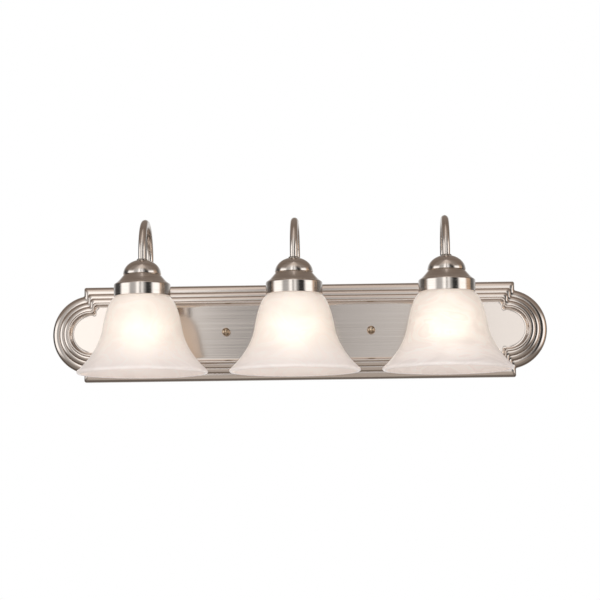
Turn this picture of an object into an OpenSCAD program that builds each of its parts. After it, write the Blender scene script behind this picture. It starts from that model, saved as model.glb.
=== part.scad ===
// Three-lamp vanity light bar: a pressed pan on the wall, three gooseneck arms and three bell shades.
// Origin: middle of the mounting strip's back, on the wall. X runs along the bar, -Y away from the
// wall and Z up. Lengths are millimetres.

/* [Backplate] */
// Overall length over the round ends
plate_length = 610; // [500:1:900]
// Height of the long middle block
plate_height = 118; // [96:1:160]
// Length of the long middle block
block_length = 532; // [430:1:760]
// Radius of the round ends
end_radius = 49; // [40:0.5:60]
// Depth from the wall to the crest of the moulding
plate_depth = 24; // [18:0.5:40]
// Width of the moulding on the long sides and round ends
moulding_w = 28; // [20:0.5:34]
// Width of the moulding on the block's short ends
end_moulding_w = 17; // [12:0.5:24]
// How far the flat panel lies behind the crest
panel_drop = 3.5; // [1:0.1:5]
// Thickness of the pressed steel
sheet = 1; // [0.6:0.1:1.5]

/* [Lamps] */
// Number of lamps
lamp_count = 3; // [1:1:3]
// Distance from lamp to lamp
lamp_pitch = 177.8; // [155:0.1:240]
// Distance from the wall to a lamp's axis
lamp_reach = 148; // [125:1:200]
// Height of a holder's lower edge above the plate's middle
holder_z = 31.5; // [26:0.5:40]

/* [Gooseneck arm] */
// Outer diameter of the tube
arm_d = 9.2; // [8.6:0.1:12]
// Inner diameter of the tube
arm_bore_d = 6.8; // [6.4:0.1:7.6]
// Radius of the top loop on the tube's centre line
loop_r = 40; // [30:0.5:46]
// Radius of the lower bend on the tube's centre line
elbow_r = 28; // [20:0.5:32]
// Straight tube between the dome and the loop
loop_rise = 9.2; // [5:0.1:20]

/* [Holder] */
// Outer diameter of the plain band
band_d = 66.2; // [60:0.1:80]
// Height of the band
band_h = 12.5; // [12:0.1:18]
// Height of the shoulder between the band and the dome
shoulder_h = 13.6; // [10:0.1:18]
// Diameter of the dome at its foot
dome_d = 44.4; // [42:0.1:52]
// Height of the dome
dome_h = 16; // [15:0.1:24]

/* [Shade] */
// Diameter of the mouth over the lip
mouth_d = 153; // [130:0.5:170]
// Height of the glass below the band
shade_drop = 91; // [82:0.5:110]
// Diameter at the waist, where the flare starts
waist_d = 94; // [84:0.5:100]
// Wall of the glass
glass_t = 3.2; // [2.4:0.1:4]
// Thickness of the glass collar that the ring clamps
collar_t = 4; // [3:0.1:5]
// How far the glass reaches up into the band
neck_in = 12; // [10:0.1:12]

/* [Socket and shade ring] */
// Diameter of the socket's threaded skirt
skirt_d = 39.2; // [37:0.1:41]
// Length of the threaded skirt
skirt_len = 14.5; // [13:0.1:18]
// How far the shade ring's flange stands out from the skirt
ring_flange_w = 6.4; // [4:0.1:7]
// Height of the shade ring
ring_h = 8; // [7:0.1:10]

/* [Bulb] */
// Diameter of the bulb's globe
bulb_d = 48; // [44:0.5:56]
// Overall length of the bulb
bulb_len = 89; // [84:0.5:96]
// Diameter of the bulb's screw base
base_d = 26.4; // [26.4]

/* [Wall strip] */
// Distance between the two studs
stud_pitch = 177.8; // [150:0.1:210]
// Diameter of the studs
stud_d = 4.16; // [4.16]
// Width of the strip
strip_w = 24; // [20:0.5:30]
// Thickness of the strip
strip_t = 2; // [1.6:0.1:3]
// Distance between the middles of the two box slots
slot_pitch = 79.4; // [79.4]
// Length of a box slot, end to end
slot_len = 14.2; // [14.2]
// Width of a box slot
slot_w = 4.6; // [4.6]
// Diameter of the hole for the box nipple
nipple_d = 10.5; // [10.5]
// Diameter of the ball nuts
ball_d = 10; // [9:0.1:13]

/* [Hidden] */
$fn = 96;
LAMPS = [1 : lamp_count];
LAMP_PIECES = [
  "arm", "arm_collar", "arm_plate_nut", "arm_ferrule", "arm_lock_nut", "lead_wires", "holder",
  "socket_body", "socket_shell", "socket_contact", "shade_ring", "shade", "bulb_globe",
  "bulb_base", "bulb_insulator", "bulb_tip"
];

// Running clearance on radius, and a loose one
run = 0.05;
slack = 0.5;
// Past a face that is cut
over = 1;

// Heights on a lamp, from the plate's middle
band_top = holder_z + band_h;
dome_foot = band_top + shoulder_h;
dome_top = dome_foot + dome_h;
lock_nut_h = 3;
lock_nut_flats = arm_d + 2.6;
// The dome's top is flat over the lock nut's corners
dome_flat_r = lock_nut_flats / 2 / cos(30) + sheet + 0.2;
cap_top = dome_top - sheet - lock_nut_h;
arm_end = cap_top - 6;
glass_top = holder_z + neck_in;
skirt_z = glass_top - skirt_len;
ring_top = glass_top - collar_t;
contact_z = skirt_z + 27.5;
rim_z = holder_z - shade_drop;
ferrule_h = 2;

// Backplate
panel_h = plate_depth - panel_drop;
rim_h = 6;
end_centre = plate_length / 2 - end_radius;
// Each bead: where it ends across the moulding and how high, as shares of width and depth
BEADS = [[0.32, 0.58], [0.54, 0.78], [0.74, 0.92], [0.79, 1]];
CREST_IN = 0.84;
CREST_FALL = 0.8;
BEAD_STEPS = 6;
rear_h = panel_h - sheet;

// Arm
arm_r = arm_d / 2;
bore_r = arm_bore_d / 2;
loop_z = dome_top + loop_rise;
rear_leg = lamp_reach - 2 * loop_r;
plate_nut_h = 4;
collar_h = 5.5;
collar_r = arm_r + 6;

// Socket and bulb
shell_r = base_d / 2 + run;
shell_t = 0.6;
socket_wall_r = shell_r + shell_t;
shoulder_r = skirt_d / 2 + 5.2;
shoulder_t = 2.5;
base_len = 25;
tip_h = 2;
tip_r = 4.8;
insulator_h = 4;
base_z = contact_z - base_len;
globe_r = bulb_d / 2;
bulb_z = contact_z - bulb_len;
bulb_t = 1;

// Wires
wire_d = 2.2;
wire_gap = 3;
wire_y = 6;
wire_turn = 5;
// The arm ends where its leads start to bend
arm_tail = wire_y + wire_turn;
TRAY = [13, 17];
block_half = 20;

// Wall strip
strip_len = stud_pitch + 24;
stud_r = stud_d / 2;
stud_len = panel_h + 7;

// Places
function lamp_x(n) = (n - (lamp_count + 1) / 2) * lamp_pitch;

// Curves: a cubic through four handles, its normal, and the same curve moved along its normal
function bez(p, t) =
  p[0] * pow(1 - t, 3) + p[1] * 3 * t * pow(1 - t, 2) + p[2] * 3 * t * t * (1 - t) + p[3] * pow(t, 3);
function slope(p, t) =
  (p[1] - p[0]) * pow(1 - t, 2) + (p[2] - p[1]) * 2 * t * (1 - t) + (p[3] - p[2]) * t * t;
function left_of(v) = [-v.y, v.x] / norm(v);
function curve(p, steps, shift = 0) =
  [for (i = [0 : steps]) bez(p, i / steps) + shift * left_of(slope(p, i / steps))];
// Quarter ellipse from a to b, leaving a upright when upright_first
function quarter(a, b, upright_first = true, steps = BEAD_STEPS) =
  [for (i = [0 : steps]) let (q = 90 * i / steps)
    upright_first
      ? [a.x + (b.x - a.x) * (1 - cos(q)), a.y + (b.y - a.y) * sin(q)]
      : [a.x + (b.x - a.x) * sin(q), a.y + (b.y - a.y) * (1 - cos(q))]];
function reversed(list) = [for (i = [len(list) - 1 : -1 : 0]) list[i]];

// Turned part: a closed outline of [radius, height] points
module turned(points) {
  rotate_extrude() polygon(points);
}

// Places children at a lamp's axis
module at_lamp(n) {
  translate([lamp_x(n), -lamp_reach, 0]) children();
}

// Stands a shape drawn on XY, and what rises from it, up on the wall, facing -Y
module on_wall() {
  rotate([90, 0, 0]) children();
}

// Side view: X is the distance from the wall, Y is up
module side_view() {
  rotate([90, 0, -90]) children();
}

module pipe(r_out, r_in, h) {
  difference() {
    cylinder(r = r_out, h = h);
    translate([0, 0, -over]) cylinder(r = r_in, h = h + 2 * over);
  }
}

module hex_nut(flats, hole_r, h) {
  difference() {
    cylinder(d = flats / cos(30), h = h, $fn = 6);
    translate([0, 0, -over]) cylinder(r = hole_r, h = h + 2 * over);
  }
}

// ---- Backplate ----

// Rising side of the moulding: [distance in from the edge, height] points, edge to crest
function rise(w) = concat(
  quarter([0, rim_h], [BEADS[0][0] * w, BEADS[0][1] * plate_depth]),
  [for (k = [1 : 3]) each quarter(
    [BEADS[k - 1][0] * w, BEADS[k - 1][1] * plate_depth],
    [BEADS[k][0] * w, BEADS[k][1] * plate_depth])]
);
// Falling side: crest to the panel's edge
function fall(w) = concat(
  quarter([BEADS[3][0] * w, plate_depth], [CREST_IN * w, plate_depth - CREST_FALL], false),
  quarter([CREST_IN * w, plate_depth - CREST_FALL], [w, panel_h])
);

// Half section of the risen solid, or of the solid that sinks the panel, in from half width s
function risen_half(s, w, inset) = concat(
  [[0, inset > 0 ? -over : 0], [s - inset, inset > 0 ? -over : 0]],
  [for (p = rise(w)) [s - p.x - inset, p.y - inset]],
  [[0, plate_depth - inset]]
);
function sunk_half(s, w, inset) = concat(
  [[0, plate_depth + over], [s - BEADS[3][0] * w + inset, plate_depth + over]],
  [for (p = fall(w)) [s - p.x + inset, p.y - inset]],
  [[0, panel_h - inset]]
);
function both_sides(half) = concat(half, [for (p = reversed(half)) if (p.x > 0) [-p.x, p.y]]);

// Block: the section across the length and the one across the height, where both hold
module block_form(long_half, tall_half) {
  intersection() {
    rotate([90, 0, 0]) linear_extrude(plate_height * 2, center = true) polygon(both_sides(long_half));
    rotate([90, 0, 90]) linear_extrude(plate_length * 2, center = true) polygon(both_sides(tall_half));
  }
}

// Stadium: the same section swept round the two ends
module stadium_form(half) {
  for (side = [-1, 1]) translate([side * end_centre, 0, 0]) turned(half);
  rotate([90, 0, 90]) linear_extrude(2 * end_centre, center = true) polygon(both_sides(half));
}

module risen(inset) {
  block_form(
    risen_half(block_length / 2, end_moulding_w, inset),
    risen_half(plate_height / 2, moulding_w, inset));
  stadium_form(risen_half(end_radius, moulding_w, inset));
}

module sunk(inset) {
  block_form(
    sunk_half(block_length / 2, end_moulding_w, inset),
    sunk_half(plate_height / 2, moulding_w, inset));
  stadium_form(sunk_half(end_radius, moulding_w, inset));
}

module backplate() {
  color("#aaa098") on_wall() difference() {
    risen(0);
    sunk(0);
    difference() {
      risen(sheet);
      sunk(sheet);
    }
    for (n = LAMPS) translate([lamp_x(n), 0, 0]) cylinder(r = arm_r + run, h = plate_depth);
    for (side = [-1, 1])
      translate([side * stud_pitch / 2, 0, 0]) cylinder(r = stud_r + slack / 2, h = plate_depth);
  }
}

// ---- Wall strip ----

ground_at = [20, -7];
ground_screw_r = 1.6;

module slot() {
  run_x = (slot_len - slot_w) / 2;
  for (side = [-1, 1])
    translate([side * run_x, 0, -over]) cylinder(d = slot_w, h = strip_t + 2 * over);
  translate([-run_x, -slot_w / 2, -over]) cube([2 * run_x, slot_w, strip_t + 2 * over]);
}

module mounting_bracket() {
  color("#c9c9c4") on_wall() difference() {
    translate([-strip_len / 2, -strip_w / 2, 0]) cube([strip_len, strip_w, strip_t]);
    for (side = [-1, 1]) {
      translate([side * slot_pitch / 2, 0, 0]) slot();
      translate([side * stud_pitch / 2, 0, -over]) cylinder(r = stud_r, h = strip_t + 2 * over);
    }
    translate([0, 0, -over]) cylinder(d = nipple_d, h = strip_t + 2 * over);
    translate([ground_at.x, ground_at.y, -over])
      cylinder(r = ground_screw_r, h = strip_t + 2 * over);
  }
}

module bracket_studs() {
  color("#b8b8b4") on_wall() for (side = [-1, 1])
    translate([side * stud_pitch / 2, 0, 0]) cylinder(r = stud_r, h = stud_len);
}

module stud_lock_nuts() {
  color("#c9c9c4") on_wall() for (side = [-1, 1])
    translate([side * stud_pitch / 2, 0, strip_t]) hex_nut(8.7, stud_r, 3.2);
}

wire_lug_t = 1;
ground_wire_d = 1.6;

module ground_screw() {
  color("seagreen") on_wall() translate([ground_at.x, ground_at.y, 0]) difference() {
    union() {
      cylinder(r = ground_screw_r, h = strip_t + wire_lug_t);
      translate([0, 0, strip_t + wire_lug_t]) cylinder(d = 8, h = 2.4);
    }
    translate([-5, -0.6, strip_t + wire_lug_t + 1.4]) cube([10, 1.2, 2]);
  }
}

// Bare copper wire from an eyelet under the green screw to an eyelet on the pan
module ground_wire() {
  lug_r = 5;
  wire_z = strip_t + wire_lug_t / 2;
  reach = 40;
  color("#b87333") on_wall() translate([ground_at.x, ground_at.y, 0]) {
    translate([0, 0, strip_t]) pipe(lug_r, ground_screw_r, wire_lug_t);
    translate([lug_r - 0.4, 0, strip_t + ground_wire_d / 2]) rotate([0, 90, 0])
      cylinder(d = ground_wire_d, h = reach - lug_r + 0.4);
    translate([reach, 0, strip_t + ground_wire_d / 2 + wire_turn]) rotate([90, 0, 0])
      rotate_extrude(angle = 90, start = -90) translate([wire_turn, 0]) circle(d = ground_wire_d);
    translate([reach + wire_turn, 0, strip_t + ground_wire_d / 2 + wire_turn])
      cylinder(d = ground_wire_d, h = rear_h - wire_lug_t - strip_t - ground_wire_d / 2 - wire_turn);
    translate([reach + wire_turn, 0, rear_h - wire_lug_t]) cylinder(r = lug_r, h = wire_lug_t);
  }
}

module splice_block() {
  block_z = [TRAY[0] - 4, TRAY[1] + 4];
  color("ivory") difference() {
    translate([-block_half, -(wire_y + 5), block_z[0]])
      cube([2 * block_half, wire_y + 5 - strip_t, block_z[1] - block_z[0]]);
    for (tray = TRAY) translate([-block_half - over, -wire_y, tray])
      rotate([0, 90, 0]) cylinder(d = wire_d, h = 2 * (block_half + over));
    for (side = [-1, 1]) translate([side * wire_gap / 2, -wire_y, block_z[0] - over])
      cylinder(d = wire_d, h = TRAY[0] - block_z[0] + over);
    for (x = [-13 : 6.5 : 13]) translate([x, -(wire_y + 5) - over, TRAY[1] + 1.9])
      rotate([-90, 0, 0]) cylinder(r = 1.4, h = 2 + over);
  }
}

module ball_nut() {
  foot_h = 1.4;
  foot_r = ball_d * 0.38;
  ball_mid = foot_h + ball_d * 0.42;
  color("#9b8b7c") on_wall() translate([0, 0, panel_h]) difference() {
    union() {
      cylinder(r = foot_r, h = foot_h);
      difference() {
        translate([0, 0, ball_mid]) sphere(d = ball_d);
        translate([0, 0, foot_h - ball_d]) cylinder(d = 2 * ball_d, h = ball_d);
      }
    }
    translate([0, 0, -over]) cylinder(r = stud_r + run, h = 7.4 + over);
  }
}

// ---- Arm ----

// Round bar along the arm's centre line, from tail to the lamp end at height tip
module bent_bar(r, tail, tip) {
  translate([tail, 0, 0]) rotate([0, 90, 0]) cylinder(r = r, h = rear_leg - elbow_r - tail);
  translate([rear_leg - elbow_r, elbow_r, 0])
    rotate_extrude(angle = 90, start = -90) translate([elbow_r, 0]) circle(r = r);
  translate([rear_leg, elbow_r, 0]) rotate([-90, 0, 0]) cylinder(r = r, h = loop_z - elbow_r);
  translate([rear_leg + loop_r, loop_z, 0])
    rotate_extrude(angle = 180) translate([loop_r, 0]) circle(r = r);
  translate([lamp_reach, tip, 0]) rotate([-90, 0, 0]) cylinder(r = r, h = loop_z - tip);
}

module arm() {
  color("#a89c90") side_view() difference() {
    bent_bar(arm_r, arm_tail, arm_end);
    bent_bar(bore_r, arm_tail - over, arm_end - over);
  }
}

module arm_collar() {
  color("#aaa098") on_wall() translate([0, 0, panel_h]) difference() {
    turned(concat(
      [[0, 0], [collar_r, 0]],
      quarter([collar_r, 1.2], [arm_r + 1.6, 3.4]),
      quarter([arm_r + 1.6, 3.4], [arm_r, collar_h]),
      [[0, collar_h]]));
    translate([0, 0, -over]) cylinder(r = arm_r, h = collar_h + 2 * over);
  }
}

module arm_plate_nut() {
  color("#c9c9c4") on_wall() translate([0, 0, rear_h - plate_nut_h])
    hex_nut(arm_d + 4, arm_r, plate_nut_h);
}

module arm_ferrule() {
  color("#8d8379") translate([0, 0, dome_top]) difference() {
    turned(concat([[0, 0], [arm_r + 1.8, 0]], quarter([arm_r + 1.8, 0.8], [arm_r, ferrule_h]),
      [[0, ferrule_h]]));
    translate([0, 0, -over]) cylinder(r = arm_r, h = ferrule_h + 2 * over);
  }
}

module arm_lock_nut() {
  color("#c9c9c4") translate([0, 0, cap_top]) hex_nut(lock_nut_flats, arm_r, lock_nut_h);
}

// ---- Wires ----

// Two insulated leads from the splice block, through the arm and down to the socket's terminals
module lead_wires(n) {
  x = lamp_x(n);
  r = wire_d / 2;
  wire_end = contact_z + 3;
  inward = x > 0 ? -1 : 1;
  for (k = [0, 1]) color(k == 0 ? "#222222" : "whitesmoke") {
    lead_x = x + (k == 0 ? inward : -inward) * wire_gap / 2;
    tray = TRAY[k];
    translate([lead_x, 0, 0]) side_view() {
      bent_bar(r, wire_y + wire_turn, wire_end);
      translate([wire_y + wire_turn, wire_turn, 0])
        rotate_extrude(angle = 90, start = 180) translate([wire_turn, 0]) circle(r = r);
    }
    if (x == 0) {
      translate([lead_x, -wire_y, wire_turn]) cylinder(r = r, h = TRAY[0] - wire_turn);
    } else {
      translate([lead_x, -wire_y, wire_turn]) cylinder(r = r, h = tray - 2 * wire_turn);
      translate([lead_x + inward * wire_turn, -wire_y, tray - wire_turn]) rotate([90, 0, 0])
        rotate_extrude(angle = 90, start = inward > 0 ? 90 : 0)
          translate([wire_turn, 0]) circle(r = r);
      translate([inward > 0 ? lead_x + wire_turn : block_half - 6, -wire_y, tray])
        rotate([0, 90, 0]) cylinder(r = r, h = abs(lead_x) - wire_turn - block_half + 6);
    }
  }
}

// ---- Holder ----

DOME_STEPS = 12;
dome_sweep = acos(dome_flat_r / (dome_d / 2));
// Handles of the shoulder's cove, from the band's rolled edge to the groove under the dome
COVE = [
  [band_d / 2 - 1.6, band_top + 2.4], [band_d / 2 - 4.5, band_top + 4.2],
  [dome_d / 2 + 2.8, dome_foot - 5], [dome_d / 2 - 0.8, dome_foot - 0.6]
];
// Outline from the band's lower edge to the middle of the dome's top, moved in by inset
function holder_line(inset) = [
  for (p = concat(
    quarter([band_d / 2, band_top], COVE[0]),
    curve(COVE, 8),
    [for (q = [0 : dome_sweep / DOME_STEPS : dome_sweep + 0.01])
      [dome_d / 2 * cos(q), dome_foot + dome_h * sin(q) / sin(dome_sweep)]],
    [[inset, dome_top]]))
  [p.x - inset, p.y - inset]
];

module holder() {
  color("#a2978d") difference() {
    turned(concat([[0, holder_z], [band_d / 2, holder_z]], holder_line(0)));
    turned(concat([[0, holder_z - over], [band_d / 2 - sheet, holder_z - over]], holder_line(sheet)));
    translate([0, 0, cap_top]) cylinder(r = arm_r + run, h = dome_h);
  }
}

// ---- Socket ----

module socket_body() {
  cap_r = dome_d / 2 - 5;
  color("#e8e2d4") difference() {
    turned([
      [0, skirt_z], [skirt_d / 2, skirt_z], [skirt_d / 2, glass_top], [shoulder_r, glass_top],
      [shoulder_r, glass_top + shoulder_t], [cap_r + 1, glass_top + shoulder_t], [cap_r, cap_top - 5],
      [arm_r + 5, cap_top], [0, cap_top]
    ]);
    translate([0, 0, skirt_z - over])
      cylinder(r = socket_wall_r, h = contact_z - 1.5 - skirt_z + over);
    translate([0, 0, contact_z - 2]) cylinder(r = tip_r + 1.2, h = 2.7);
    translate([0, 0, contact_z]) cylinder(r = bore_r, h = cap_top - contact_z);
    translate([0, 0, arm_end]) cylinder(r = arm_r, h = cap_top - arm_end + over);
  }
}

module socket_shell() {
  color("#c8a24a") translate([0, 0, skirt_z + 1.5])
    pipe(socket_wall_r, shell_r, contact_z - 3 - skirt_z - 1.5);
}

module socket_contact() {
  color("#b5822e") {
    translate([0, 0, contact_z]) cylinder(r = tip_r + 0.6, h = 0.7);
    translate([0, 0, contact_z + 0.7]) cylinder(r = 1.2, h = 1.6);
  }
}

module shade_ring() {
  rib_count = 24;
  body_r = skirt_d / 2 + 3.4;
  flange_t = 2.6;
  color("#3a3632") difference() {
    union() {
      translate([0, 0, ring_top - flange_t]) cylinder(r = skirt_d / 2 + ring_flange_w, h = flange_t);
      translate([0, 0, ring_top - ring_h]) cylinder(r = body_r, h = ring_h);
      for (k = [1 : rib_count]) rotate([0, 0, k * 360 / rib_count])
        translate([body_r - 0.4, -0.7, ring_top - ring_h]) cube([1.4, 1.4, ring_h - flange_t]);
    }
    translate([0, 0, ring_top - ring_h - over])
      cylinder(r = skirt_d / 2 + run, h = ring_h + 2 * over);
  }
}

// ---- Shade ----

neck_r = band_d / 2 - sheet - 0.7;
collar_hole_r = skirt_d / 2 + 0.8;
waist = [waist_d / 2, holder_z - 0.45 * shade_drop];
lip_r = 2.4;
lip = [mouth_d / 2 - lip_r, rim_z + lip_r];
lip_edge = lip + lip_r * [cos(35), sin(35)];
// Handles of the shoulder's curve and of the flare's curve
glass_start = [neck_r + 0.3, holder_z - 0.5];
SHOULDER = [
  glass_start, [glass_start.x + 0.59 * (waist.x - glass_start.x), holder_z - 6],
  waist + [-3, 15.5], waist
];
FLARE = [waist, waist + [2.5, -13], lip_edge + [-17, 14.5], lip_edge];

module shade() {
  outside = concat(curve(SHOULDER, 12), curve(FLARE, 14));
  inside = concat(curve(SHOULDER, 12, -glass_t), curve(FLARE, 14, -glass_t));
  lip_arc = [for (a = [35 : -23 : -149]) lip + lip_r * [cos(a), sin(a)]];
  color("#f2e9dd") turned(concat(
    [[collar_hole_r, glass_top], [neck_r - 1.5, glass_top], [neck_r, glass_top - 1.5]],
    outside, lip_arc, reversed(inside),
    [[neck_r - glass_t, ring_top - 1], [neck_r - glass_t - 1, ring_top], [collar_hole_r, ring_top]]));
}

// ---- Bulb ----

glass_neck_r = base_d / 2 - 0.7;
globe_mid = bulb_z + globe_r;
BULB_SIDE = [
  [glass_neck_r, base_z - 1], [glass_neck_r + 0.4, base_z - 13], [globe_r, globe_mid + 19],
  [globe_r, globe_mid]
];

module bulb_globe() {
  function bowl(r) = [for (a = [10 : 10 : 90]) [r * cos(a), globe_mid - r * sin(a)]];
  color("#fff3dc") turned(concat(
    [[glass_neck_r - bulb_t, base_z + 5], [glass_neck_r, base_z + 5]],
    curve(BULB_SIDE, 12), bowl(globe_r), reversed(bowl(globe_r - bulb_t)),
    reversed(curve(BULB_SIDE, 12, -bulb_t))));
}

module bulb_base() {
  shell_h = base_len - insulator_h - tip_h;
  color("#c9c2b4") translate([0, 0, base_z]) difference() {
    cylinder(r = base_d / 2, h = shell_h);
    translate([0, 0, -over]) cylinder(r = glass_neck_r, h = shell_h - 1 + over);
  }
}

module bulb_insulator() {
  color("#26221f") translate([0, 0, contact_z - tip_h - insulator_h])
    cylinder(r1 = base_d / 2 - 1, r2 = tip_r + 0.6, h = insulator_h);
}

module bulb_tip() {
  color("#a8a49b") translate([0, 0, contact_z - tip_h]) cylinder(r = tip_r, h = tip_h);
}

// ---- Assembly ----

backplate();
mounting_bracket();
bracket_studs();
stud_lock_nuts();
ground_screw();
ground_wire();
splice_block();
translate([-stud_pitch / 2, 0, 0]) ball_nut();  // ball_nut_left
translate([stud_pitch / 2, 0, 0]) ball_nut();  // ball_nut_right
for (n = LAMPS) {
  translate([lamp_x(n), 0, 0]) arm();
  translate([lamp_x(n), 0, 0]) arm_collar();
  translate([lamp_x(n), 0, 0]) arm_plate_nut();
  at_lamp(n) arm_ferrule();
  at_lamp(n) arm_lock_nut();
  lead_wires(n);
  at_lamp(n) holder();
  at_lamp(n) socket_body();
  at_lamp(n) socket_shell();
  at_lamp(n) socket_contact();
  at_lamp(n) shade_ring();
  at_lamp(n) shade();
  at_lamp(n) bulb_globe();
  at_lamp(n) bulb_base();
  at_lamp(n) bulb_insulator();
  at_lamp(n) bulb_tip();
}
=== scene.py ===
"""Three-lamp vanity light bar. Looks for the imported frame, built piece by piece as the light goes
together: strip and pan, arms, holders, sockets, shades, bulbs. Blender units are metres, and sizes
written in millimetres are turned to metres by MM."""

import math

import bmesh
import bpy
from mathutils import Matrix, Vector


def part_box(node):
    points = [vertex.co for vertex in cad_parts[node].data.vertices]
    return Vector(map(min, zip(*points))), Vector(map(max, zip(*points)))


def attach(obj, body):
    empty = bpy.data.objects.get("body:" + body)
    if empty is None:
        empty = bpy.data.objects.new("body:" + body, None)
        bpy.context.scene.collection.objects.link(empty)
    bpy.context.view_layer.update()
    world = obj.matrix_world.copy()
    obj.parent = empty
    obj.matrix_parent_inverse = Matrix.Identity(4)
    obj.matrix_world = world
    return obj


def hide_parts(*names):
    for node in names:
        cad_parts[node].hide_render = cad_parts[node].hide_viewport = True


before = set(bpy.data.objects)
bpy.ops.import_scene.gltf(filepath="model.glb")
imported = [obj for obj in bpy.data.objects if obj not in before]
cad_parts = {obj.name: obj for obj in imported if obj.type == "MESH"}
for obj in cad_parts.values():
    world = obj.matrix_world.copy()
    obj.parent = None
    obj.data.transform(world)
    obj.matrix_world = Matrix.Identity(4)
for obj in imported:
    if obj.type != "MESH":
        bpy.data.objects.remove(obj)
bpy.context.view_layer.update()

# ---- Camera ----
# The light is seen from the middle of a room, a little from below and from the right of its middle,
# with a long lens.

CAMERA_PLACE = Vector((0.0903, -2.483, -0.228))
CAMERA_LENS = 121.0
CAMERA_LEFT = math.radians(2.05)
CAMERA_UP = math.radians(6.17)
CAMERA_ROLL = math.radians(0.62)

camera_data = bpy.data.cameras.new("camera")
camera_data.lens = CAMERA_LENS
camera_data.clip_end = 50
camera = bpy.data.objects.new("camera", camera_data)
camera.matrix_world = (
    Matrix.Translation(CAMERA_PLACE)
    @ Matrix.Rotation(CAMERA_LEFT, 4, "Z")
    @ Matrix.Rotation(math.radians(90) + CAMERA_UP, 4, "X")
    @ Matrix.Rotation(-CAMERA_ROLL, 4, "Z")
)
bpy.context.scene.collection.objects.link(camera)
bpy.context.scene.camera = camera
bpy.context.scene.view_settings.view_transform = "Standard"

# ---- Studio ----
# A white cyclorama with tall soft boxes at the sides, a dark flag right of the camera and a dim
# ceiling, which is what the polished nickel shows. The floor is a plain pale sheet well below.


def ramp(tree, value, stops, ease="EASE"):
    """Colour ramp on a value: stops are (place, grey or colour)"""
    node = tree.nodes.new("ShaderNodeValToRGB")
    node.color_ramp.interpolation = ease
    elements = node.color_ramp.elements
    while len(elements) < len(stops):
        elements.new(0.5)
    for element, (place, colour) in zip(elements, stops):
        element.position = place
    for element, (place, colour) in zip(elements, stops):
        rgb = (colour,) * 3 if isinstance(colour, (int, float)) else colour
        element.color = (*rgb, 1)
    tree.links.new(value, node.inputs["Fac"])
    return node.outputs["Color"]


def maths(tree, operation, *values):
    """Math node on numbers or sockets"""
    node = tree.nodes.new("ShaderNodeMath")
    node.operation = operation
    for socket, value in zip(node.inputs, values):
        if isinstance(value, (int, float)):
            socket.default_value = value
        else:
            tree.links.new(value, socket)
    return node.outputs["Value"]


def blended(tree, how, a, b, share=1.0):
    """Mix node on two colours"""
    node = tree.nodes.new("ShaderNodeMix")
    node.data_type = "RGBA"
    node.blend_type = how
    node.clamp_factor = True
    for index, value in ((0, share), (6, a), (7, b)):
        if isinstance(value, (int, float)):
            node.inputs[index].default_value = value
        elif isinstance(value, tuple):
            node.inputs[index].default_value = (*value, 1)
        else:
            tree.links.new(value, node.inputs[index])
    return node.outputs[2]


# Degrees round from straight ahead of the light, left to right, and how bright the studio is there
TAN = (0.42, 0.30, 0.21)
STUDIO_ROUND = (
    (-180, 0.55), (-160, 0.50), (-140, 0.26), (-126, 0.05), (-95, 0.04), (-83, 1.00), (-52, 1.00),
    (-42, 0.33), (-24, 0.38), (-19, 0.50), (-16, 1.00), (-5.9, 1.00), (-5.0, 0.19), (-2.4, 0.23),
    (-0.8, 0.38), (1.6, 0.42), (2.8, 0.80), (9, 0.80), (13, 0.27), (18, 0.24), (23, 0.02), (42, 0.02),
    (52, 1.00), (78, 1.00), (86, TAN), (103, TAN), (112, 0.08), (126, 0.10), (140, 0.26), (160, 0.50),
    (180, 0.55),
)
# The ceiling and the ground are lit in front of the light and fall off to its sides
CEILING_SIDE, CEILING_FRONT = (0.16, 0.13, 0.11), (0.52, 0.455, 0.41)
GROUND_SIDE, GROUND_FRONT = (0.085, 0.07, 0.058), (0.33, 0.295, 0.265)
IN_FRONT = ((0.34, 0.0), (0.44, 1.0), (0.56, 1.0), (0.66, 0.0))
# Share of ceiling and of ground, against the direction's height from straight down to straight up
CEILING_SHARE_SIDE, CEILING_SHARE_FRONT = ((0.62, 0.0), (0.76, 0.95)), ((0.74, 0.0), (0.95, 0.85))
GROUND_SHARE = ((0.24, 0.9), (0.41, 0.0))
STUDIO_POWER = 1.6

world = bpy.data.worlds.new("studio")
bpy.context.scene.world = world
world.use_nodes = True
sky = world.node_tree
direction = sky.nodes.new("ShaderNodeTexCoord").outputs["Generated"]
parts = sky.nodes.new("ShaderNodeSeparateXYZ")
sky.links.new(direction, parts.inputs[0])
ahead = maths(sky, "MULTIPLY", parts.outputs["Y"], -1)
turn = maths(sky, "ARCTAN2", parts.outputs["X"], ahead)
turn = maths(sky, "ADD", maths(sky, "DIVIDE", turn, 2 * math.pi), 0.5)
height = maths(sky, "ADD", maths(sky, "MULTIPLY", parts.outputs["Z"], 0.5), 0.5)
around = ramp(sky, turn, [((angle + 180) / 360, grey) for angle, grey in STUDIO_ROUND], "LINEAR")
in_front = ramp(sky, turn, IN_FRONT)
ceiling = blended(sky, "MIX", CEILING_SIDE, CEILING_FRONT, in_front)
ground = blended(sky, "MIX", GROUND_SIDE, GROUND_FRONT, in_front)
ceiling_share = blended(
    sky, "MIX", ramp(sky, height, CEILING_SHARE_SIDE), ramp(sky, height, CEILING_SHARE_FRONT), in_front)
around = blended(sky, "MIX", around, ceiling, ceiling_share)
around = blended(sky, "MIX", around, ground, ramp(sky, height, GROUND_SHARE))
background = sky.nodes["Background"]
sky.links.new(around, background.inputs["Color"])
background.inputs["Strength"].default_value = STUDIO_POWER
white = sky.nodes.new("ShaderNodeBackground")
white.inputs["Color"].default_value = (1, 1, 1, 1)
seen = sky.nodes.new("ShaderNodeMixShader")
sky.links.new(sky.nodes.new("ShaderNodeLightPath").outputs["Is Camera Ray"], seen.inputs[0])
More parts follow.
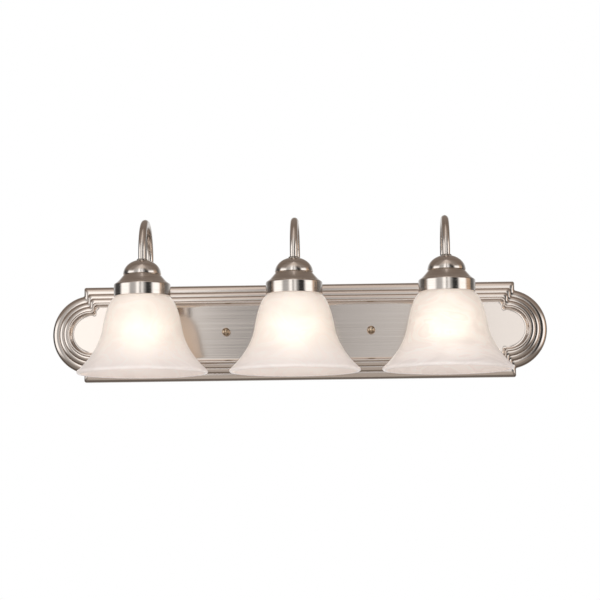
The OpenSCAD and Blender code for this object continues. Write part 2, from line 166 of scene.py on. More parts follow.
sky.links.new(background.outputs[0], seen.inputs[1])
sky.links.new(white.outputs[0], seen.inputs[2])
sky.links.new(seen.outputs[0], sky.nodes["World Output"].inputs["Surface"])


def soft_box(name, place, aim, size, power):
    """Square area light that lights matt surfaces and doesn't show in the metal"""
    data = bpy.data.lights.new(name, "AREA")
    data.shape = "SQUARE"
    data.size = size
    data.energy = power
    lamp = bpy.data.objects.new(name, data)
    lamp.location = place
    lamp.rotation_euler = (Vector(aim) - Vector(place)).to_track_quat("-Z", "Y").to_euler()
    lamp.visible_glossy = False
    bpy.context.scene.collection.objects.link(lamp)


soft_box("key", (-0.9, -1.7, 0.7), (0, -0.1, 0), 1.2, 10)
soft_box("fill", (1.2, -1.6, 0.1), (0, -0.1, 0), 1.2, 6)
soft_box("back", (0.4, 1.8, 0.8), (0, 0, 0), 1.2, 20)

FLOOR_Z = -2.6
FLOOR_SIZE = 120.0
bpy.ops.object.select_all(action="DESELECT")
bpy.ops.mesh.primitive_grid_add(
    x_subdivisions=8, y_subdivisions=8, size=FLOOR_SIZE, location=(0, 0, FLOOR_Z))
floor = bpy.context.object
floor.name = "studio_floor"
floor_finish = bpy.data.materials.new("pale floor")
floor_finish.use_nodes = True
floor_shader = floor_finish.node_tree.nodes["Principled BSDF"]
floor_shader.inputs["Base Color"].default_value = (0.82, 0.81, 0.8, 1)
floor_shader.inputs["Roughness"].default_value = 0.7
floor_shader.inputs["Emission Color"].default_value = (1, 0.99, 0.98, 1)
floor_shader.inputs["Emission Strength"].default_value = 0.35
floor.data.materials.append(floor_finish)
floor.visible_glossy = False

# ---- Backplate ----
# A pan pressed from 1 mm steel: a long block and two half rounds, stepped up in three beads to a thin
# ridge, with the face sunk flat behind it. Polished, brushed along its length and nickel plated.

MM = 0.001
plate_low, plate_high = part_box("backplate")
PLATE_HALF = plate_high.x
PLATE_HALF_TALL = plate_high.z
PLATE_DEPTH = -plate_low.y
BLOCK_HALF = 266 * MM
END_RADIUS = 49 * MM
MOULDING = 28 * MM
END_MOULDING = 17 * MM
PANEL_DROP = 3.5 * MM
SHEET = 1.0 * MM
RIM = 6 * MM
PANEL_Y = -(PLATE_DEPTH - PANEL_DROP)
# How far each bead reaches across the moulding, and up, as shares
BEAD_ENDS = ((0.32, 0.58), (0.54, 0.78), (0.74, 0.92))
RIDGE = (0.79, 1.0)
RIDGE_IN = (0.845, 0.962)


def principled(name, colour, roughness, metallic=0.0, **sockets):
    """New material and its node tree, with constants set on the shader"""
    material = bpy.data.materials.new(name)
    material.use_nodes = True
    shader = material.node_tree.nodes["Principled BSDF"]
    shader.inputs["Base Color"].default_value = (*colour, 1)
    shader.inputs["Roughness"].default_value = roughness
    shader.inputs["Metallic"].default_value = metallic
    for socket, value in sockets.items():
        shader.inputs[socket.replace("_", " ")].default_value = value
    return material, material.node_tree, shader


def grain(tree, stretch, scale=1.0, detail=3.0, centre=(0, 0, 0), distortion=0.0):
    """Noise on Object coordinates, stretched per axis"""
    place = tree.nodes.new("ShaderNodeTexCoord").outputs["Object"]
    mapping = tree.nodes.new("ShaderNodeMapping")
    mapping.inputs["Location"].default_value = [-c * s for c, s in zip(centre, stretch)]
    mapping.inputs["Scale"].default_value = stretch
    tree.links.new(place, mapping.inputs["Vector"])
    noise = tree.nodes.new("ShaderNodeTexNoise")
    noise.inputs["Scale"].default_value = scale
    noise.inputs["Detail"].default_value = detail
    noise.inputs["Distortion"].default_value = distortion
    tree.links.new(mapping.outputs[0], noise.inputs["Vector"])
    return noise.outputs["Fac"]


def vary(tree, shader, socket, value, low, high):
    """Drives a shader socket from a 0 to 1 pattern, between two numbers or two colours"""
    if isinstance(low, tuple):
        tree.links.new(ramp(tree, value, ((0.3, low), (0.7, high))), shader.inputs[socket])
        return
    node = tree.nodes.new("ShaderNodeMapRange")
    node.inputs["From Min"].default_value = 0.3
    node.inputs["From Max"].default_value = 0.7
    node.inputs["To Min"].default_value = low
    node.inputs["To Max"].default_value = high
    tree.links.new(value, node.inputs["Value"])
    tree.links.new(node.outputs["Result"], shader.inputs[socket])


def relief(tree, shader, value, depth, strength=0.5):
    """Bump from a pattern, in metres"""
    node = tree.nodes.new("ShaderNodeBump")
    node.inputs["Strength"].default_value = strength
    node.inputs["Distance"].default_value = depth
    tree.links.new(value, node.inputs["Height"])
    tree.links.new(node.outputs["Normal"], shader.inputs["Normal"])


def brushed_nickel(name, stretch, light, dark, rough, depth=0.00002):
    """Nickel plate over brushing lines that run where stretch is smallest"""
    material, tree, shader = principled(name, light, rough[0], 1.0)
    lines = grain(tree, stretch, 1.0, 6.0)
    clouds = grain(tree, (14, 14, 14), 1.0, 2.0)
    mixed = blended(tree, "MIX", lines, clouds, 0.35)
    vary(tree, shader, "Base Color", mixed, dark, light)
    vary(tree, shader, "Roughness", lines, *rough)
    relief(tree, shader, lines, depth, 0.12)
    return material


NICKEL_LIGHT = (0.70, 0.635, 0.585)
NICKEL_DARK = (0.66, 0.595, 0.545)
plate_nickel = brushed_nickel("brushed nickel, pan", (4, 1500, 1500), NICKEL_LIGHT, NICKEL_DARK, (0.09, 0.14))


def quarter(a, b, upright_first=True, steps=7):
    """Quarter ellipse from a to b without its first point"""
    points = []
    for i in range(1, steps + 1):
        q = math.radians(90 * i / steps)
        across, up = (1 - math.cos(q), math.sin(q)) if upright_first else (math.sin(q), 1 - math.cos(q))
        points.append((a[0] + (b[0] - a[0]) * across, a[1] + (b[1] - a[1]) * up))
    return points


def moulding_section():
    """Points (share of the moulding's width, share of the pan's depth) from the wall to the panel"""
    rim = RIM / PLATE_DEPTH
    panel = 1 - PANEL_DROP / PLATE_DEPTH
    points = [(0.0, 0.0), (0.0, rim * 0.5), (0.0, rim)]
    start = (0.0, rim)
    for end in BEAD_ENDS:
        low_groove = (end[0] - 0.012, end[1] + 0.004)
        points += quarter(start, low_groove)
        points.append((end[0], end[1] - 0.014))
        start = (end[0], end[1] - 0.014)
    points += quarter(start, RIDGE, steps=5)
    points += quarter(RIDGE, RIDGE_IN, upright_first=False, steps=5)
    points += quarter(RIDGE_IN, (1.0, panel), steps=7)
    return points + [(1.02, panel), (1.06, panel)]


def spaced(path, count):
    """count points evenly along a path, from its start, without its end"""
    lengths = [0.0]
    for a, b in zip(path, path[1:]):
        lengths.append(lengths[-1] + (b - a).length)
    points = []
    for i in range(count):
        want = lengths[-1] * i / count
        k = max(j for j in range(len(path) - 1) if lengths[j] <= want + 1e-12)
        span = lengths[k + 1] - lengths[k]
        points.append(path[k].lerp(path[k + 1], (want - lengths[k]) / span if span else 0))
    return points


def arc(centre, radius, start, end, steps=16):
    """Points on a circle, angles in radians"""
    turns = [start + (end - start) * i / steps for i in range(steps + 1)]
    return [Vector((centre[0] + radius * math.cos(t), centre[1] + radius * math.sin(t))) for t in turns]


def outline(share):
    """Outline of block and half rounds together, a share of the moulding in from the edge. Points are
    (x, z), as many at every share, so the rings join up."""
    half, tall = BLOCK_HALF - share * END_MOULDING, PLATE_HALF_TALL - share * MOULDING
    radius = END_RADIUS - share * MOULDING
    middle = PLATE_HALF - END_RADIUS
    notch, corner = (2.2 + 1.6 * share) * MM, (2.5 + 2.5 * share) * MM
    # The half round, as far as the small fillet in the notch
    notch_x = half + notch
    if notch_x >= middle:
        notch_z = math.sqrt((radius + notch) ** 2 - (notch_x - middle) ** 2)
        stop = math.atan2(notch_z, notch_x - middle)
        end_round = arc((middle, 0), radius, 0, stop, 40)
    else:
        notch_z = radius + notch
        stop = math.pi / 2
        end_round = arc((middle, 0), radius, 0, stop, 40) + [Vector((notch_x, radius))]
    fillet = arc((notch_x, notch_z), notch, stop + math.pi, math.pi, 8)
    bend = arc((half - corner, tall - corner), corner, 0, math.pi / 2, 8)
    quadrant = (
        spaced(end_round + [fillet[0]], 22) + spaced(fillet, 6) + spaced([fillet[-1], bend[0]], 6)
        + spaced(bend, 8) + spaced([bend[-1], Vector((0, tall))], 12)
    )
    top = quadrant + [Vector((0, tall))] + [Vector((-p.x, p.y)) for p in reversed(quadrant)]
    return top + [Vector((p.x, -p.y)) for p in reversed(top[1:-1])]


MERGE = 0.002 * MM


def start_edit(obj):
    """Enters edit mode on one object with nothing selected"""
    bpy.ops.object.select_all(action="DESELECT")
    obj.select_set(True)
    bpy.context.view_layer.objects.active = obj
    bpy.ops.object.mode_set(mode="EDIT")
    bpy.ops.mesh.select_all(action="DESELECT")


def move_ring(mesh, corners):
    """Puts the selected ring's corners, in their order, where they belong"""
    ring = sorted((v for v in mesh.verts if v.select), key=lambda v: v.index)
    for vertex, place in zip(ring, corners):
        vertex.co = place


def finish_edit(obj):
    """Merges doubles, turns faces outward and leaves edit mode with places baked into the mesh"""
    bpy.ops.mesh.select_all(action="SELECT")
    bpy.ops.mesh.remove_doubles(threshold=MERGE)
    bpy.ops.mesh.normals_make_consistent(inside=False)
    bpy.ops.object.mode_set(mode="OBJECT")
    bpy.ops.object.transform_apply(location=True, rotation=True, scale=True)
    return obj


def fit(obj, name, material, body, nodes=(), crease=32):
    """Names a finished piece, smooths and coats it, and hangs it on its body in place of CAD nodes"""
    obj.name = name
    obj.data.name = name
    obj.data.materials.clear()
    obj.data.materials.append(material)
    bpy.ops.object.select_all(action="DESELECT")
    obj.select_set(True)
    bpy.context.view_layer.objects.active = obj
    bpy.ops.object.shade_smooth_by_angle(angle=math.radians(crease))
    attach(obj, body)
    if nodes:
        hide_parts(*nodes)
    return obj


section = moulding_section()
ring_count = len(outline(0))
bpy.ops.object.select_all(action="DESELECT")
bpy.ops.mesh.primitive_circle_add(vertices=ring_count, radius=END_RADIUS, location=(0, 0, 0))
pan = bpy.context.object
start_edit(pan)
bpy.ops.mesh.select_all(action="SELECT")
for step, (share, rise) in enumerate(section):
    if step:
        bpy.ops.mesh.extrude_edges_move(TRANSFORM_OT_translate={"value": (0, -1 * MM, 0)})
    mesh = bmesh.from_edit_mesh(pan.data)
    mesh.verts.index_update()
    move_ring(mesh, [Vector((p.x, -rise * PLATE_DEPTH, p.y)) for p in outline(share)])
    bmesh.update_edit_mesh(pan.data)
bpy.ops.mesh.edge_face_add()
finish_edit(pan)


def thicken(obj, thickness, offset=-1.0):
    """Gives a shell its wall"""
    wall = obj.modifiers.new("wall", "SOLIDIFY")
    wall.thickness = thickness
    wall.offset = offset
    bpy.context.view_layer.objects.active = obj
    bpy.ops.object.modifier_apply(modifier="wall")


thicken(pan, SHEET)
fit(pan, "pan", plate_nickel, "fixture", ["backplate"], 40)

# ---- Ball nuts ----
# Two small turned cap nuts that screw down on the strip's studs and hold the pan. Each stands on its own
# short foot. Their warm brass-brown colour is a painted reflection of the lit shades on either side.

# Painted reflection: the warm brass-brown base colour stands for the lit shades' warm light seen in the
# polished nuts.
ball_nut_painted_warm, tree, shader = principled("ball nuts, painted warm reflection", (0.50, 0.40, 0.29), 0.08, 1.0)
vary(tree, shader, "Base Color", grain(tree, (90, 90, 90), 1.0, 3.0), (0.42, 0.32, 0.22), (0.58, 0.48, 0.37))
vary(tree, shader, "Roughness", grain(tree, (300, 300, 300), 1.0, 2.0), 0.06, 0.12)
STUD_HOLE_R = 2.15 * MM
STUD_HOLE_DEEP = 7.4 * MM
FOOT_SHARE = 0.76
FOOT_H = 1.1 * MM


def filleted(corners, steps=5):
    """Outline from (radius, height, fillet) corners, each rounded by its fillet"""
    points = []
    count = len(corners)
    for i, (r, h, fillet) in enumerate(corners):
        here = Vector((r, h))
        if not fillet:
            points.append(here)
            continue
        before = Vector(corners[i - 1][:2]) - here
        after = Vector(corners[(i + 1) % count][:2]) - here
        start = here + before.normalized() * min(fillet, before.length * 0.5)
        end = here + after.normalized() * min(fillet, after.length * 0.5)
        for k in range(steps + 1):
            t = k / steps
            points.append(start * (1 - t) ** 2 + here * 2 * t * (1 - t) + end * t * t)
    return points


def turned(points, centre, axis="Z", steps=72):
    """Turned solid: a closed outline of (radius, height) points in metres, spun once round its axis.
    Heights run along +Z, or along -Y, away from the wall, for axis Y."""
    bpy.ops.object.select_all(action="DESELECT")
    bpy.ops.mesh.primitive_circle_add(vertices=len(points), radius=0.01, location=(0, 0, 0))
    obj = bpy.context.object
    start_edit(obj)
    bpy.ops.mesh.select_all(action="SELECT")
    mesh = bmesh.from_edit_mesh(obj.data)
    if axis == "Z":
        places = [Vector((centre[0] + p[0], centre[1], centre[2] + p[1])) for p in points]
        spin_axis = (0, 0, 1)
    else:
        places = [Vector((centre[0] + p[0], centre[1] - p[1], centre[2])) for p in points]
        spin_axis = (0, -1, 0)
    move_ring(mesh, places)
    bmesh.update_edit_mesh(obj.data)
    bpy.ops.mesh.spin(steps=steps, angle=2 * math.pi, center=centre, axis=spin_axis)
    return finish_edit(obj)


for side in ("left", "right"):
    low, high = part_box(f"ball_nut_{side}")
    ball = (high.z - low.z) / 2
    foot_y = high.y
    middle_h = foot_y - low.y - ball
    foot = ball * FOOT_SHARE
    ball_line = [
        Vector((ball * math.cos(q), middle_h + ball * math.sin(q)))
        for q in (math.radians(a) for a in range(-45, 91, 9))
    ]
    foot_line = [
        Vector((STUD_HOLE_R, 0)), Vector((foot, 0)), Vector((foot, FOOT_H)),
        Vector((foot * 0.86, FOOT_H + 0.35 * MM))]
    hole_end = [Vector((0, STUD_HOLE_DEEP)), Vector((STUD_HOLE_R, STUD_HOLE_DEEP))]
    nut_line = foot_line + ball_line + hole_end
    ball_nut = turned(nut_line, ((low.x + high.x) / 2, foot_y, (low.z + high.z) / 2), "Y", 48)
    fit(
        ball_nut, f"cap_nut_{side}", ball_nut_painted_warm, f"ball_nut_{side}", [f"ball_nut_{side}"],
        50)

# ---- Strip, studs and splice block ----
# What the pan covers: a zinc-plated steel strip with slots for the outlet box, two studs and their
# lock nuts, the green ground screw with its bare copper wire, and the nylon splice block.

zinc, tree, shader = principled("bright zinc", (0.66, 0.67, 0.68), 0.3, 1.0)
vary(tree, shader, "Base Color", grain(tree, (60, 60, 60), 1.0, 5.0), (0.52, 0.54, 0.56), (0.76, 0.77, 0.78))
vary(tree, shader, "Roughness", grain(tree, (220, 220, 220), 1.0, 3.0), 0.22, 0.42)

green_steel, tree, shader = principled("green dye on steel", (0.03, 0.26, 0.09), 0.32, 0.6)
vary(tree, shader, "Base Color", grain(tree, (500, 500, 500), 1.0, 3.0),
     (0.02, 0.2, 0.07), (0.05, 0.34, 0.13))

copper, tree, shader = principled("bare copper", (0.80, 0.42, 0.26), 0.3, 1.0)
vary(tree, shader, "Base Color", grain(tree, (200, 200, 200), 1.0, 4.0), (0.6, 0.28, 0.16), (0.88, 0.5, 0.33))

ivory_nylon, tree, shader = principled("ivory nylon", (0.80, 0.76, 0.64), 0.45, 0.0)
vary(tree, shader, "Roughness", grain(tree, (400, 400, 400), 1.0, 3.0), 0.38, 0.55)
relief(tree, shader, grain(tree, (700, 700, 700), 1.0, 2.0), 0.00005, 0.3)


def coat(material, *nodes):
    """Puts a finish on CAD nodes that keep their own shape"""
    for node in nodes:
        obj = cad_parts[node]
        for slot in obj.material_slots:
            slot.material = material


LAMPS = (1, 2, 3)
coat(zinc, "mounting_bracket", "bracket_studs", "stud_lock_nuts")
coat(zinc, *[f"{nut}_{n}" for nut in ("arm_plate_nut", "arm_lock_nut") for n in LAMPS])
coat(green_steel, "ground_screw")
coat(copper, "ground_wire")
coat(ivory_nylon, "splice_block")

# ---- Gooseneck arms ----
# Nine millimetre steel tube, bent on two formers, cut, threaded at both ends and nickel plated. A
# turned collar seats it on the pan and a thin ferrule on the dome.

arm_nickel = brushed_nickel(
    "satin nickel, arms", (700, 700, 700), (0.72, 0.66, 0.61), (0.64, 0.58, 0.53), (0.14, 0.22), 0.000008)
dark_nickel = brushed_nickel(
    "dark nickel, ferrules", (300, 300, 300), (0.40, 0.36, 0.32), (0.28, 0.25, 0.22), (0.18, 0.3))
LOOP = 40 * MM
ELBOW = 28 * MM
ARM_WALL = 1.2 * MM
# How far the tube screws into the socket under its lock nut
ARM_THREAD_IN = 6 * MM


def extrude_by(shift):
    """Extrudes the selected ring along a straight run"""
    bpy.ops.mesh.extrude_edges_move(TRANSFORM_OT_translate={"value": tuple(shift)})


def bent_tube(low, high, x, radius, tail_y, tip_z):
    """Tube along the arm's line: out from the wall, up the elbow, over the loop and down"""
    reach_y = low.y + radius
    rear_y = reach_y + 2 * LOOP
    loop_z = high.z - radius - LOOP
    bpy.ops.object.select_all(action="DESELECT")
    bpy.ops.mesh.primitive_circle_add(
        vertices=36, radius=radius, location=(x, tail_y, 0), rotation=(math.radians(90), 0, 0))
    obj = bpy.context.object
    bpy.ops.object.transform_apply(location=True, rotation=True, scale=True)
    start_edit(obj)
    bpy.ops.mesh.select_all(action="SELECT")
    extrude_by((0, rear_y + ELBOW - tail_y, 0))
    bpy.ops.mesh.spin(steps=14, angle=math.radians(90), center=(x, rear_y + ELBOW, ELBOW), axis=(1, 0, 0))
    extrude_by((0, 0, loop_z - ELBOW))
    bpy.ops.mesh.spin(steps=40, angle=math.radians(180), center=(x, rear_y - LOOP, loop_z), axis=(-1, 0, 0))
    extrude_by((0, 0, tip_z - loop_z))
    return finish_edit(obj)


for n in LAMPS:
    low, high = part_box(f"arm_{n}")
    arm_x = (low.x + high.x) / 2
    arm_r = (high.x - low.x) / 2
    arm = bent_tube(low, high, arm_x, arm_r, high.y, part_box(f"arm_lock_nut_{n}")[0].z - ARM_THREAD_IN)
    thicken(arm, ARM_WALL)
    fit(arm, f"gooseneck_{n}", arm_nickel, "fixture", [f"arm_{n}"], 40)

    low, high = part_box(f"arm_collar_{n}")
    wide, tall = (high.x - low.x) / 2, high.y - low.y
    collar = turned(filleted([
        (arm_r, 0, 0), (wide, 0, 0), (wide, 1.8 * MM, 0.5 * MM), (wide - 1.6 * MM, 2.6 * MM, 0.5 * MM),
        (wide - 3.2 * MM, 4.0 * MM, 1.2 * MM), (arm_r + 1.1 * MM, 4.2 * MM, 0.5 * MM),
        (arm_r + 0.9 * MM, tall, 0.5 * MM), (arm_r, tall, 0)]), (arm_x, high.y, 0), "Y", 60)
    fit(collar, f"wall_collar_{n}", arm_nickel, "fixture", [f"arm_collar_{n}"])

    low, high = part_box(f"arm_ferrule_{n}")
    wide, tall = (high.x - low.x) / 2, high.z - low.z
    axis_at = ((low.x + high.x) / 2, (low.y + high.y) / 2, low.z)
    ferrule = turned(filleted([
        (arm_r, 0, 0), (wide, 0, 0), (wide, tall * 0.55, 0.4 * MM), (wide - 0.9 * MM, tall, 0.4 * MM),
        (arm_r, tall, 0)]), axis_at, "Z", 60)
    fit(ferrule, f"arm_ferrule_ring_{n}", dark_nickel, "fixture", [f"arm_ferrule_{n}"])

# ---- Lead wires ----
# A black and a white lead for each lamp, stranded copper in PVC, from the splice block along the pan,
# up through the arm and down to the socket's terminals.

LEAD_R = 1.1 * MM
LEAD_APART = 3.0 * MM
LEAD_SIDES = 16
# Heights of the two rows of wireways in the splice block, and the bend into and out of them
ROW_Z = {"black": 13 * MM, "white": 17 * MM}
ROW_Y = -6 * MM
LEAD_BEND = 5 * MM
ROW_START = 14 * MM

black_pvc, tree, shader = principled("black PVC", (0.02, 0.02, 0.022), 0.42)
vary(tree, shader, "Base Color", grain(tree, (90, 90, 90), 1.0, 3.0),
     (0.014, 0.014, 0.016), (0.03, 0.03, 0.032))
vary(tree, shader, "Roughness", grain(tree, (250, 250, 250), 1.0, 3.0), 0.34, 0.5)
white_pvc, tree, shader = principled("white PVC", (0.80, 0.79, 0.76), 0.42)
vary(tree, shader, "Base Color", grain(tree, (120, 120, 120), 1.0, 3.0),
     (0.74, 0.73, 0.69), (0.84, 0.83, 0.80))
vary(tree, shader, "Roughness", grain(tree, (250, 250, 250), 1.0, 3.0), 0.34, 0.5)


def bend_on(centre, axis, degrees, steps):
    """Carries the selected ring round a bend"""
    bpy.ops.mesh.spin(steps=steps, angle=math.radians(degrees), center=centre, axis=axis)


def lead(n, colour):
    """One lead's tube, extruded and spun along its whole way, with its ends closed"""
    arm_low, arm_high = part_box(f"arm_{n}")
    lamp_x, tube_r = (arm_low.x + arm_high.x) / 2, (arm_high.x - arm_low.x) / 2
    inward = -1 if n == LAMPS[-1] else 1
    x = lamp_x + inward * LEAD_APART / 2 * (1 if colour == "black" else -1)
    rear_y = arm_low.y + tube_r + 2 * LOOP
    loop_z = arm_high.z - tube_r - LOOP
    from_below = n == 2
    row_z = ROW_Z["black" if from_below else colour]
    start = (x, ROW_Y, row_z) if from_below else (-inward * ROW_START, ROW_Y, row_z)
    bpy.ops.object.select_all(action="DESELECT")
    bpy.ops.mesh.primitive_circle_add(
        vertices=LEAD_SIDES, radius=LEAD_R, location=start,
        rotation=(0, 0 if from_below else math.radians(90), 0))
    obj = bpy.context.object
    bpy.ops.object.transform_apply(location=True, rotation=True, scale=True)
    start_edit(obj)
    bpy.ops.mesh.select_all(action="SELECT")
    if from_below:
        extrude_by((0, 0, LEAD_BEND - row_z))
    else:
        extrude_by((x + inward * (LEAD_BEND + ROW_START), 0, 0))
        bend_on((x + inward * LEAD_BEND, ROW_Y, row_z - LEAD_BEND), (0, inward, 0), 90, 8)
        extrude_by((0, 0, 2 * LEAD_BEND - row_z))
    bend_on((x, ROW_Y - LEAD_BEND, LEAD_BEND), (1, 0, 0), 90, 8)
    extrude_by((0, rear_y + ELBOW - ROW_Y + LEAD_BEND, 0))
    bend_on((x, rear_y + ELBOW, ELBOW), (1, 0, 0), 90, 14)
    extrude_by((0, 0, loop_z - ELBOW))
    bend_on((x, rear_y - LOOP, loop_z), (-1, 0, 0), 180, 28)
    extrude_by((0, 0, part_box(f"socket_contact_{n}")[0].z + 3 * MM - loop_z))
    bpy.ops.mesh.select_all(action="SELECT")
    bpy.ops.mesh.remove_doubles(threshold=MERGE)
    bpy.ops.mesh.fill_holes(sides=LEAD_SIDES)
    return finish_edit(obj)


for n in LAMPS:
    for colour, pvc in (("black", black_pvc), ("white", white_pvc)):
        fit(lead(n, colour), f"{colour}_lead_{n}", pvc, "fixture", [f"lead_wires_{n}"], 50)

# ---- Holders ----
# Spun from 1 mm steel on a lathe: a dome, a coved shoulder and a plain band over the neck of the
# glass. Polished, then nickel plated, with the lathe's faint rings left round it.

holder_nickel, tree, shader = principled("satin nickel, holders", NICKEL_LIGHT, 0.16, 1.0)
rings = grain(tree, (20, 20, 1600), 1.0, 4.0)
vary(tree, shader, "Base Color", rings, (0.64, 0.585, 0.535), (0.72, 0.665, 0.62))
vary(tree, shader, "Roughness", rings, 0.12, 0.2)
relief(tree, shader, rings, 0.00001, 0.2)
BAND_H = 12.5 * MM
SHOULDER_H = 13.6 * MM
DOME_R = 22.2 * MM
# The band's rolled edge, in and up
ROLL = (1.6 * MM, 2.4 * MM)


def bezier(handles, steps):
    """Points and left-hand normals along a cubic curve"""
    a, b, c, d = (Vector(h) for h in handles)
    out = []
    for i in range(steps + 1):
        t = i / steps
        point = a * (1 - t) ** 3 + b * 3 * t * (1 - t) ** 2 + c * 3 * t * t * (1 - t) + d * t ** 3
        slope = (b - a) * (1 - t) ** 2 + (c - b) * 2 * t * (1 - t) + (d - c) * t * t
        out.append((point, Vector((-slope.y, slope.x)).normalized()))
    return out


for n in LAMPS:
    low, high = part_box(f"holder_{n}")
    axis_at = ((low.x + high.x) / 2, (low.y + high.y) / 2, 0)
    band_r = (high.x - low.x) / 2
    band_top = low.z + BAND_H
    foot_z = band_top + SHOULDER_H
    nut_low, nut_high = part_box(f"arm_lock_nut_{n}")
    sweep = math.acos(((nut_high.x - nut_low.x) / 2 + SHEET + 0.2 * MM) / DOME_R)
    rolled_edge = quarter((band_r, band_top), (band_r - ROLL[0], band_top + ROLL[1]), True, 6)
    cove = bezier((
        rolled_edge[-1], (band_r - 4.5 * MM, band_top + 4.2 * MM),
        (DOME_R + 2.8 * MM, foot_z - 5 * MM), (DOME_R - 0.8 * MM, foot_z - 0.6 * MM)), 14)
    groove = [(DOME_R - 0.95 * MM, foot_z - 0.3 * MM), (DOME_R - 0.7 * MM, foot_z - 0.05 * MM)]
    dome = [
        (DOME_R * math.cos(q), foot_z + (high.z - foot_z) * math.sin(q) / math.sin(sweep))
        for q in (sweep * k / 24 for k in range(25))
    ]
    line = [
        (band_r - 0.25 * MM, low.z), (band_r, low.z + 0.3 * MM), (band_r, low.z + 1.5 * MM),
        (band_r, band_top)]
    line += rolled_edge + [(point.x, point.y) for point, normal in cove[1:]] + groove + dome
    arm_low, arm_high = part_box(f"arm_{n}")
    hole_r = (arm_high.x - arm_low.x) / 2
    inner = [(max(r - SHEET, hole_r), z - SHEET) for r, z in reversed(line[3:])]
    profile = line + [(hole_r, high.z), (hole_r, high.z - SHEET)] + inner + [(band_r - SHEET, low.z)]
    holder = turned([Vector(p) for p in profile], axis_at, "Z", 96)
    fit(holder, f"holder_cup_{n}", holder_nickel, "fixture", [f"holder_{n}"], 38)

# ---- Sockets ----
# Porcelain bodies with a threaded skirt, glazed white, with a brass screw shell and a sprung centre
# contact riveted inside.

porcelain, tree, shader = principled("glazed porcelain", (0.84, 0.81, 0.74), 0.16, 0.0, Coat_Weight=0.4)
vary(tree, shader, "Base Color", grain(tree, (50, 50, 50), 1.0, 4.0), (0.80, 0.76, 0.68), (0.87, 0.85, 0.79))
socket_brass, tree, shader = principled("bare brass", (0.78, 0.58, 0.26), 0.26, 1.0)
vary(tree, shader, "Base Color", grain(tree, (150, 150, 150), 1.0, 4.0),
     (0.62, 0.43, 0.17), (0.86, 0.67, 0.34))
coat(porcelain, *[f"socket_body_{n}" for n in LAMPS])
coat(socket_brass, *[f"{part}_{n}" for part in ("socket_shell", "socket_contact") for n in LAMPS])

# ---- Shade rings ----
# Moulded dark brown phenolic, ribbed for the fingers. Each screws up the socket's skirt and clamps
# the collar of its glass.

phenolic, tree, shader = principled("brown phenolic", (0.045, 0.038, 0.033), 0.34, 0.0)
vary(tree, shader, "Base Color", grain(tree, (80, 80, 80), 1.0, 5.0),
     (0.034, 0.028, 0.024), (0.058, 0.049, 0.042))
vary(tree, shader, "Roughness", grain(tree, (240, 240, 240), 1.0, 3.0), 0.28, 0.42)
relief(tree, shader, grain(tree, (900, 900, 900), 1.0, 2.0), 0.00004, 0.3)
coat(phenolic, *[f"shade_ring_{n}" for n in LAMPS])

# ---- Shades ----
# Bells of white opal glass with alabaster swirls, blown in a mould and fire-polished, with a thick
# rounded lip and a flat collar inside the neck that the ring clamps.

GLASS = 3.2 * MM
WAIST_R = 47 * MM
LIP = 2.4 * MM
COLLAR_HOLE_R = 20.4 * MM
# How deep the swirls show in each bell: no two pours are alike
SWIRL = {1: 0.07, 2: 0.06, 3: 0.11}


def alabaster(n, centre):
    """Opal glass with soft swirls. Its glow is painted on as a warm emission, brightest round the bulb's
    globe, on top of the bulb's own light coming through the glass.
    """
    material, tree, shader = principled(
        f"alabaster glass {n}", (0.93, 0.90, 0.87), 0.42, 0.0, Coat_Weight=0.35, Coat_Roughness=0.06,
        IOR=1.48, Transmission_Weight=0.35)
    veins = grain(tree, (11, 11, 20), 1.0, 6.0, (centre[0] * 1.7, centre[1], centre[2]), 2.2)
    deep = SWIRL[n]
    swirl = ramp(tree, veins, (
        (0.36, 1 - deep), (0.46, 1 - 0.4 * deep), (0.50, 1.0), (0.54, 1 - 0.8 * deep),
        (0.66, 1 - 0.1 * deep)))
    tree.links.new(blended(tree, "MULTIPLY", (0.95, 0.92, 0.90), swirl), shader.inputs["Base Color"])
    # Painted glow: the glass gets its own warm emission, strongest near the bulb's globe and fading towards
    # the lip, standing in for the lamp's light coming through the bell.
    place = tree.nodes.new("ShaderNodeTexCoord").outputs["Object"]
    away = tree.nodes.new("ShaderNodeVectorMath")
    away.operation = "DISTANCE"
    away.inputs[1].default_value = centre
    tree.links.new(place, away.inputs[0])
    decimetres = maths(tree, "MULTIPLY", away.outputs["Value"], 10)
    painted_glow = ramp(tree, decimetres, (
        (0.36, (0.14, 0.115, 0.08)), (0.50, (0.125, 0.100, 0.077)), (0.72, (0.12, 0.100, 0.090)),
        (0.92, (0.085, 0.072, 0.070))))
    tree.links.new(blended(tree, "MULTIPLY", painted_glow, swirl), shader.inputs["Emission Color"])
    shader.inputs["Emission Strength"].default_value = 1.0
    return material


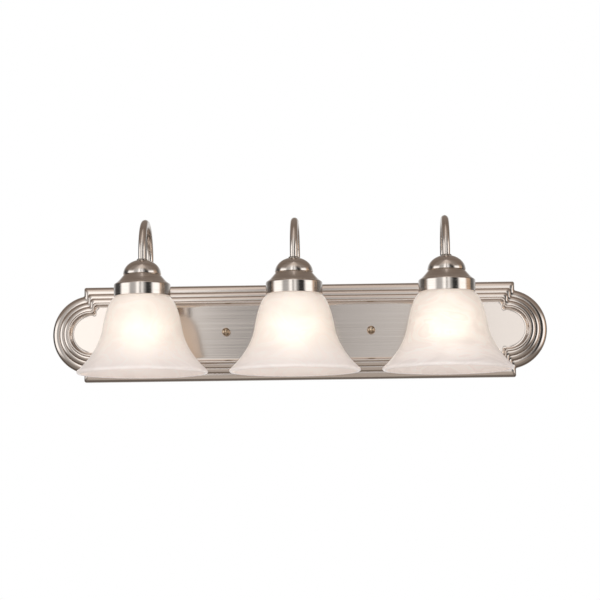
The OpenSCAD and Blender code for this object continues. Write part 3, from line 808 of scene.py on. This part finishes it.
for n in LAMPS:
    low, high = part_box(f"shade_{n}")
    axis_at = ((low.x + high.x) / 2, (low.y + high.y) / 2, 0)
    holder_low, holder_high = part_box(f"holder_{n}")
    mouth_r = (high.x - low.x) / 2
    neck_r = (holder_high.x - holder_low.x) / 2 - SHEET - 0.7 * MM
    drop = holder_low.z - low.z
    waist = Vector((WAIST_R, holder_low.z - 0.45 * drop))
    lip = Vector((mouth_r - LIP, low.z + LIP))
    tilt = math.radians(35)
    lip_edge = lip + LIP * Vector((math.cos(tilt), math.sin(tilt)))
    start_r = neck_r + 0.3 * MM
    upper = bezier((
        (start_r, holder_low.z - 0.5 * MM),
        (start_r + 0.59 * (WAIST_R - start_r), holder_low.z - 6 * MM),
        waist + Vector((-3, 15.5)) * MM, waist), 22)
    lower = bezier((
        waist, waist + Vector((2.5, -13)) * MM, lip_edge + Vector((-17, 14.5)) * MM, lip_edge), 26)
    outer = [p for p, normal in upper] + [p for p, normal in lower[1:]]
    inner = [p - normal * GLASS for p, normal in upper + lower[1:]]
    lip_turns = (tilt - math.radians(15 * k) for k in range(1, 13))
    lip_arc = [lip + LIP * Vector((math.cos(a), math.sin(a))) for a in lip_turns]
    ring_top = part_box(f"shade_ring_{n}")[1].z
    collar_line = [
        Vector((neck_r - GLASS, ring_top - 1.5 * MM)),
        Vector((neck_r - GLASS - 0.5 * MM, ring_top - 0.4 * MM)),
        Vector((neck_r - GLASS - 1.5 * MM, ring_top)), Vector((COLLAR_HOLE_R + 0.6 * MM, ring_top)),
        Vector((COLLAR_HOLE_R, ring_top + 0.6 * MM)), Vector((COLLAR_HOLE_R, high.z - 0.6 * MM)),
        Vector((COLLAR_HOLE_R + 0.6 * MM, high.z)), Vector((neck_r - 1.5 * MM, high.z)),
        Vector((neck_r - 0.4 * MM, high.z - 0.5 * MM)), Vector((neck_r, high.z - 1.5 * MM))]
    shade = turned(collar_line + outer + lip_arc + list(reversed(inner)), axis_at, "Z", 128)
    bulb_low, bulb_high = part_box(f"bulb_globe_{n}")
    painted_glow_centre = (axis_at[0], axis_at[1], bulb_low.z + (bulb_high.x - bulb_low.x) / 2)
    fit(shade, f"glass_bell_{n}", alabaster(n, painted_glow_centre), f"shade_{n}", [f"shade_{n}"], 50)

# ---- Bulbs ----
# Frosted glass bulbs on rolled aluminium screw bases, with a black glass insulator and a soldered
# contact. They are lit, warm white.

frosted, tree, shader = principled("frosted bulb glass", (1.0, 0.95, 0.86), 0.4, 0.0)
frost = grain(tree, (60, 60, 60), 1.0, 3.0)
warm = ramp(tree, frost, ((0.3, (1.0, 0.82, 0.60)), (0.7, (1.0, 0.88, 0.70))))
globe_low, globe_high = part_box("bulb_globe_2")
place = tree.nodes.new("ShaderNodeSeparateXYZ")
tree.links.new(tree.nodes.new("ShaderNodeTexCoord").outputs["Object"], place.inputs[0])
above = maths(tree, "SUBTRACT", place.outputs["Z"], globe_low.z)
along = maths(tree, "DIVIDE", above, globe_high.z - globe_low.z)
up_the_neck = ramp(tree, along, ((0.30, 1.0), (0.62, 0.22)))
tree.links.new(blended(tree, "MULTIPLY", warm, up_the_neck), shader.inputs["Emission Color"])
shader.inputs["Emission Strength"].default_value = 2.8
aluminium, tree, shader = principled("rolled aluminium", (0.80, 0.79, 0.77), 0.28, 1.0)
vary(tree, shader, "Base Color", grain(tree, (200, 200, 800), 1.0, 3.0),
     (0.68, 0.67, 0.65), (0.86, 0.85, 0.83))
black_glass, tree, shader = principled("black glass", (0.02, 0.018, 0.02), 0.08)
vary(tree, shader, "Roughness", grain(tree, (300, 300, 300), 1.0, 2.0), 0.05, 0.14)
coat(frosted, *[f"bulb_globe_{n}" for n in LAMPS])
coat(aluminium, *[f"{part}_{n}" for part in ("bulb_base", "bulb_tip") for n in LAMPS])
coat(black_glass, *[f"bulb_insulator_{n}" for n in LAMPS])
